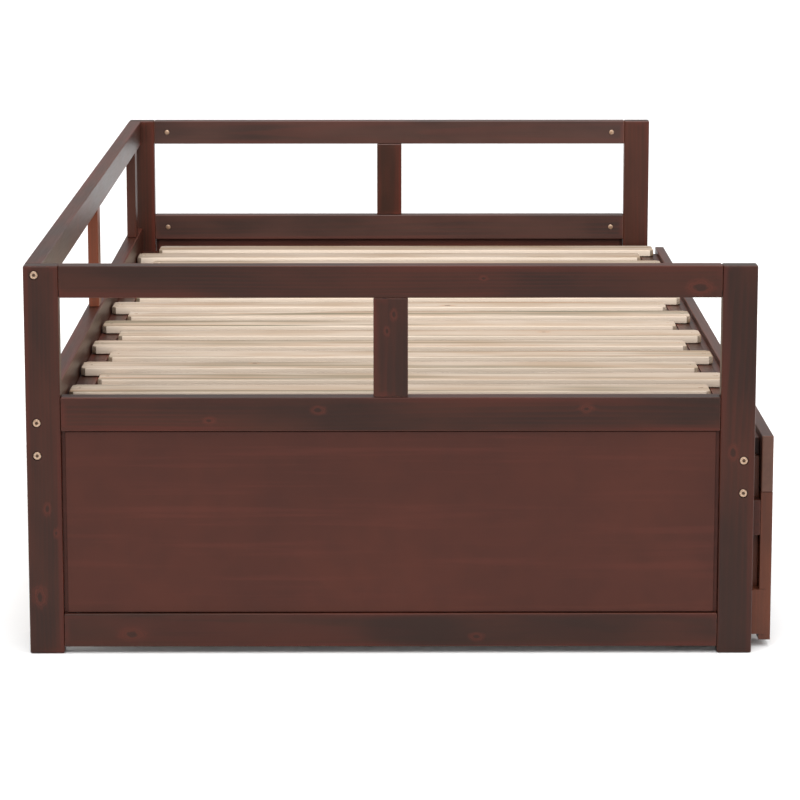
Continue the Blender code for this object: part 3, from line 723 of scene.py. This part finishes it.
def model_bearer():
    """A bearer around the origin, its arrises eased, with a housing for every slat."""
    length = deck_high.x - deck_low.x
    bearer = box("bearer_pattern", (length, BEARER_DEPTH, BEARER_HEIGHT))
    open_edit(bearer, "EDGE", lambda edge: True)
    bpy.ops.mesh.bevel(offset=ARRIS, segments=2, affect="EDGES")
    close_edit()
    housing_floor = slat_middle.z - DECK_SLAT_THICKNESS / 2 - deck_low.z - BEARER_HEIGHT / 2
    housings = [box("housing", (DECK_SLAT_WIDTH + HOUSING_PLAY, *HOUSING_TOOL),
                    (deck_first + number * deck_pitch, 0, housing_floor + HOUSING_TOOL[1] / 2))
                for number in range(DECK_SLATS)]
    cut(bearer, join("housings", housings))
    smooth(bearer)
    return bearer


def lay_deck():
    """Replace the plain deck with bearers and slats, and return the slats."""
    pattern = model_bearer()
    made = []
    for number in range(BEARERS):
        share = number / (BEARERS - 1)
        y = deck_low.y + BEARER_DEPTH / 2 + share * (deck_high.y - deck_low.y - BEARER_DEPTH)
        bearer = copy_to(pattern, f"deck_bearer_{number + 1}",
                         (0, y, deck_low.z + BEARER_HEIGHT / 2))
        around = [Vector(corner) for corner in (
            (deck_low.x, y - BEARER_DEPTH / 2, deck_low.z),
            (deck_high.x, y + BEARER_DEPTH / 2, deck_low.z + BEARER_HEIGHT))]
        dress(bearer, raw_pine(bearer.name + "_finish", around, "X", BEARER_SEED + number,
                               aged=BEARER_AGE))
        made.append(bearer)
    bpy.data.objects.remove(pattern)
    pattern = model_slat("deck_slat_pattern", slat_size)
    for number in range(DECK_SLATS):
        middle = slat_middle + Vector((deck_first + number * deck_pitch, 0, 0))
        slat = copy_to(pattern, f"deck_slat_{number + 1}", middle)
        around = (middle - slat_size / 2, middle + slat_size / 2)
        dress(slat, raw_pine(slat.name + "_finish", around, "Y", DECK_SEED + number,
                             aged=DECK_AGE))
        made.append(slat)
    bpy.data.objects.remove(pattern)
    for piece in made:
        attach(piece, "trundle")
        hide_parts("trundle_deck")
    return made[BEARERS:]


deck_slats = lay_deck()
print("deck:", BEARERS, "bearers and", len(deck_slats), "slats,", round(deck_pitch, 4), "apart")

# %% [markdown]
# ## Metal
# The bolts and barrel nuts are zinc plated with a yellow pass, and the slat screws are the
# same. Plating is metal with slightly uneven roughness and a warm tint that comes and goes.

# %% Zinc plate
def zinc_plate(name, bright, tint):
    finish = Finish(name)
    axes = finish.axes()
    cloud = finish.noise([axis * 900 for axis in axes], 2)
    scuff = finish.noise([axis * 4000 for axis in axes], 2)
    colour = finish.mix(finish.step(cloud, 0.35, 0.7), bright, tint)
    finish.surface(colour, 0.24 + scuff * 0.22, scuff, 0.1, 0.00005)
    finish.shader.inputs["Metallic"].default_value = 1.0
    return finish.material


# The darker plate is painted shade for the inside of the bolts' hexagon sockets.
socket_painted_shade = zinc_plate("painted_shade_recess", rgb(96, 76, 62), rgb(66, 52, 44))
plated = zinc_plate("zinc_plate", rgb(196, 172, 152), rgb(150, 114, 84))
print("metal:", plated.name)

# %% [markdown]
# ## Screws, bolts and nuts
# The slat screws have a sunk head with a cross. The connector bolts have a broad flat head
# with a hexagon socket, and each pulls on a barrel nut, of which only the round end with its
# slot shows. All of them sit a hair below the wood.

# %% Fasteners
SCREW_RADIUS, SCREW_HEAD = 0.0036, 0.0011
CROSS_LENGTH, CROSS_WIDTH, CROSS_DEPTH = 0.0038, 0.0008, 0.0006
BOLT_RADIUS, BOLT_HEAD, BOLT_RIM, BOLT_CROWN = 0.0056, 0.002, 0.0012, 0.00025
SOCKET_RADIUS, SOCKET_DEPTH = 0.0025, 0.0017
NUT_RADIUS, NUT_END = 0.0047, 0.0012
SLOT_WIDTH, SLOT_LENGTH, SLOT_DEPTH = 0.0013, 0.012, 0.0007


def ease_rim(piece, depth, radius, width, segments):
    """Round the edges of a head that lie less than depth below z 0 and beyond a radius."""
    open_edit(piece, "EDGE", lambda edge: all(
        piece.data.vertices[v].co.z > -depth and piece.data.vertices[v].co.xy.length > radius
        for v in edge.vertices))
    bpy.ops.mesh.bevel(offset=width, segments=segments, affect="EDGES")
    close_edit()


def model_screw():
    """A cross-head screw head, its top at the origin."""
    head = cylinder("screw_pattern", SCREW_RADIUS, SCREW_HEAD, (0, 0, -SCREW_HEAD / 2), 20)
    ease_rim(head, depth=0.0001, radius=0, width=0.0003, segments=2)
    for size in ((CROSS_LENGTH, CROSS_WIDTH), (CROSS_WIDTH, CROSS_LENGTH)):
        cut(head, box("cross", (*size, CROSS_DEPTH * 2)))
    smooth(head)
    dress(head, plated)
    return head


def model_bolt():
    """A flat bolt head with a hexagon socket, its top at the origin."""
    head = cylinder("bolt_pattern", BOLT_RADIUS, BOLT_HEAD, (0, 0, -BOLT_HEAD / 2), 32)
    open_edit(head, "FACE", lambda face: face.normal.z > 0.9)
    bpy.ops.mesh.inset(thickness=BOLT_RIM)
    bpy.ops.transform.translate(value=(0, 0, BOLT_CROWN))
    close_edit()
    ease_rim(head, depth=0.0003, radius=BOLT_RADIUS - 0.0004, width=0.0005, segments=3)
    cut(head, cylinder("socket", SOCKET_RADIUS, SOCKET_DEPTH * 2, sides=6))
    smooth(head)
    dress(head, plated)
    # Painted shade: the faces inside the socket get the darker plate.
    head.data.materials.append(socket_painted_shade)
    for face in head.data.polygons:
        if face.center.xy.length < SOCKET_RADIUS * 1.2 and face.center.z < -0.0004:
            face.material_index = 1
    return head


def model_nut():
    """The end of a barrel nut with its slot, its top at the origin."""
    barrel = cylinder("nut_pattern", NUT_RADIUS, NUT_END, (0, 0, -NUT_END / 2), 28)
    ease_rim(barrel, depth=0.0001, radius=0, width=0.0004, segments=2)
    cut(barrel, box("slot", (SLOT_WIDTH, SLOT_LENGTH, SLOT_DEPTH * 2)))
    smooth(barrel)
    dress(barrel, plated)
    return barrel


screw, bolt, nut = model_screw(), model_bolt(), model_nut()
print("patterns:", [(p.name, len(p.data.polygons)) for p in (screw, bolt, nut)])

# %% [markdown]
# Where they go is read from the boards: bolts through the posts into the ends of the back
# rails and of the front beam, bolts through the posts' sides into the end panels' rails, and
# a barrel nut in each rail across its bolt.

# %% Place the fasteners
SINK = 0.0008
SCREW_SINK = 0.0012
FIT = 0.0003
BOLT_EDGE = 0.015
PAIR = 0.023
TOP_DROP = 0.013
NUT_FROM_POST = 0.0245
NUT_FROM_END = 0.035
BEAM_HEIGHT = 0.072  # of the beam itself, without the ledger on its back

FACE_X = {-1: (0, -math.pi / 2, 0), 1: (0, math.pi / 2, 0)}
FACE_Y = {-1: (math.pi / 2, 0, 0), 1: (-math.pi / 2, 0, 0)}

back_low, back_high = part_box("back_bottom_rail")
beam_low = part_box("front_beam")[0]
back_middle = (back_low.z + back_high.z) / 2
beam_middle = beam_low.z + BEAM_HEIGHT / 2
back_heights = (high.z - TOP_DROP, back_middle + PAIR, back_middle - PAIR)
beam_heights = (beam_middle + PAIR, beam_middle - PAIR)


def end_fasteners(end, side):
    """The bolts and nuts of one end panel, as two pieces."""
    rear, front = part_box(f"{end}_rear_post"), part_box(f"{end}_front_post")
    outer = rear[0].x if side < 0 else rear[1].x
    inner = rear[1].x if side < 0 else rear[0].x
    bolts = [copy_to(bolt, "bolt", (outer - side * SINK, rear[1].y - BOLT_EDGE, z), FACE_X[side])
             for z in back_heights]
    bolts += [copy_to(bolt, "bolt", (outer - side * SINK, front[0].y + BOLT_EDGE, z), FACE_X[side])
              for z in beam_heights]
    nuts = []
    for rail in ("top_rail", "mid_rail"):
        start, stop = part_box(f"{end}_{rail}")
        z = (start.z + stop.z) / 2
        middle = (rear[0].x + rear[1].x) / 2
        bolts += [copy_to(bolt, "bolt", (middle, rear[1].y - SINK, z), FACE_Y[1]),
                  copy_to(bolt, "bolt", (middle, front[0].y + SINK, z), FACE_Y[-1])]
        nuts += [copy_to(nut, "nut", (inner + side * SINK, y, z), FACE_X[-side])
                 for y in (start.y + NUT_FROM_POST, stop.y - NUT_FROM_POST)]
    return join(f"{end}_end_bolts", bolts), join(f"{end}_end_barrel_nuts", nuts)


def frame_nuts():
    """The barrel nuts in the back rails and in the front beam."""
    nuts = []
    for side in (-1, 1):
        x = side * (back_high.x + FIT - NUT_FROM_END)
        nuts += [copy_to(nut, "nut", (x, back_high.y - SINK, z), FACE_Y[1]) for z in back_heights]
        nuts += [copy_to(nut, "nut", (x, beam_low.y + SINK, z), FACE_Y[-1]) for z in beam_heights]
    return join("frame_barrel_nuts", nuts)


def slat_screws(name, slats):
    """Two screws for each slat, at the bottom of their sunk holes."""
    screws = []
    for number, slat in enumerate(slats):
        ys = [vertex.co.y for vertex in slat.data.vertices]
        xs = [vertex.co.x for vertex in slat.data.vertices]
        top = max(vertex.co.z for vertex in slat.data.vertices)
        for turn, y in enumerate((min(ys) + SCREW_FROM_END, max(ys) - SCREW_FROM_END)):
            screws.append(copy_to(screw, "screw", ((min(xs) + max(xs)) / 2, y, top - SCREW_SINK),
                                  (0, 0, 0.7 * number + 1.1 * turn)))
    return join(name, screws)


placed = [(piece, "bed") for end, side in (("left", -1), ("right", 1))
          for piece in end_fasteners(end, side)]
placed += [(frame_nuts(), "bed"), (slat_screws("fixed_slat_screws", fixed), "bed"),
           (slat_screws("sliding_slat_screws", sliding), "extension"),
           (slat_screws("deck_slat_screws", deck_slats), "trundle")]
for piece, body in placed:
    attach(piece, body)
for pattern in (screw, bolt, nut):
    bpy.data.objects.remove(pattern)
print("fasteners:", [piece.name for piece, body in placed])

# %% [markdown]
# ## Wheels
# The wheels are moulded plastic with a soft grey tread: a disc, dished on both faces around a
# raised hub, on a plated steel pin that runs into the wood.

# %% Wheels
def moulded(name, base, light, gloss):
    finish = Finish(name)
    axes = finish.axes()
    dust = finish.noise([axis * 60 for axis in axes], 3)
    grain = finish.noise([axis * 1500 for axis in axes], 2)
    colour = finish.mix(finish.step(dust, 0.45, 0.75) * 0.4, base, light)
    finish.surface(colour, gloss + dust * 0.15, grain, 0.12, 0.0001)
    return finish.material


tread_finish = moulded("grey_tread", rgb(86, 86, 88), rgb(124, 122, 118), 0.6)
hub_finish = moulded("black_moulding", rgb(28, 28, 30), rgb(60, 58, 56), 0.38)
print("wheel finishes:", tread_finish.name, hub_finish.name)

# %% One wheel
WHEEL_WIDTH = 0.018
WHEEL_PROUD = 0.001
WHEEL_GAP = 0.002
RIM_SHARE = 0.2
DISH_SHARE = 0.2
WALL_SLOPE = 0.0008
HUB_RADIUS = 0.0085
HUB_RIM, HUB_DIMPLE = 0.0022, 0.0007
TREAD_ROUND = 0.0025
PIN_RADIUS = 0.0048
PIN_LENGTH = 0.011
PIN_IN_HUB = 0.003


def model_wheel(name, radius):
    """A wheel around the origin that turns about Z, with hub, dish and tread."""
    wheel = cylinder(name, radius, WHEEL_WIDTH, sides=48)
    rim = radius * RIM_SHARE
    dish = WHEEL_WIDTH * DISH_SHARE
    open_edit(wheel, "FACE", lambda face: abs(face.normal.z) > 0.9)
    bpy.ops.mesh.inset(thickness=rim, use_individual=True)
    bpy.ops.mesh.inset(thickness=WALL_SLOPE, use_individual=True)
    bpy.ops.transform.shrink_fatten(value=-dish)
    bpy.ops.mesh.inset(thickness=radius - rim - WALL_SLOPE - HUB_RADIUS, use_individual=True)
    bpy.ops.mesh.inset(thickness=WALL_SLOPE, use_individual=True)
    bpy.ops.transform.shrink_fatten(value=dish + WALL_SLOPE)
    bpy.ops.mesh.inset(thickness=HUB_RIM, use_individual=True)
    bpy.ops.transform.shrink_fatten(value=-HUB_DIMPLE)
    close_edit()
    open_edit(wheel, "EDGE", lambda edge: all(
        wheel.data.vertices[v].co.xy.length > radius - 1e-5 for v in edge.vertices)
        and abs(wheel.data.vertices[edge.vertices[0]].co.z
                - wheel.data.vertices[edge.vertices[1]].co.z) < 1e-6)
    bpy.ops.mesh.bevel(offset=TREAD_ROUND, segments=4, affect="EDGES")
    close_edit()
    smooth(wheel, 40)
    wheel.data.materials.append(hub_finish)
    wheel.data.materials.append(tread_finish)
    for face in wheel.data.polygons:
        face.material_index = 1 if face.center.xy.length > radius - rim * 0.6 else 0
    return wheel


def fit_wheel(node):
    """Put a modelled wheel and its pin where a plain one is, and let it turn with it."""
    start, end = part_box(node)
    radius = (end.z - start.z) / 2
    side = -1 if start.x < 0 else 1
    inner = start.x if side > 0 else end.x
    x = inner + side * (WHEEL_WIDTH / 2 + WHEEL_PROUD)
    y, z = (start.y + end.y) / 2, (start.z + end.z) / 2
    pattern = model_wheel("wheel_pattern", radius)
    wheel = copy_to(pattern, node + "_moulded", (x, y, z), (0, math.pi / 2, 0))
    bpy.data.objects.remove(pattern)
    pattern = cylinder("pin_pattern", PIN_RADIUS, WHEEL_GAP + PIN_LENGTH + PIN_IN_HUB, sides=24)
    reach = WHEEL_WIDTH / 2 + WHEEL_PROUD + (WHEEL_GAP + PIN_LENGTH - PIN_IN_HUB) / 2
    pin = copy_to(pattern, node + "_pin", (x + side * reach, y, z), (0, math.pi / 2, 0))
    bpy.data.objects.remove(pattern)
    smooth(pin)
    dress(pin, plated)
    for piece in (wheel, pin):
        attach(piece, node)
    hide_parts(node)
    return wheel


wheels = [fit_wheel(node) for node in sorted(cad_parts) if node.endswith("wheel")]
print("wheels:", len(wheels), "each", len(wheels[0].data.polygons), "faces")
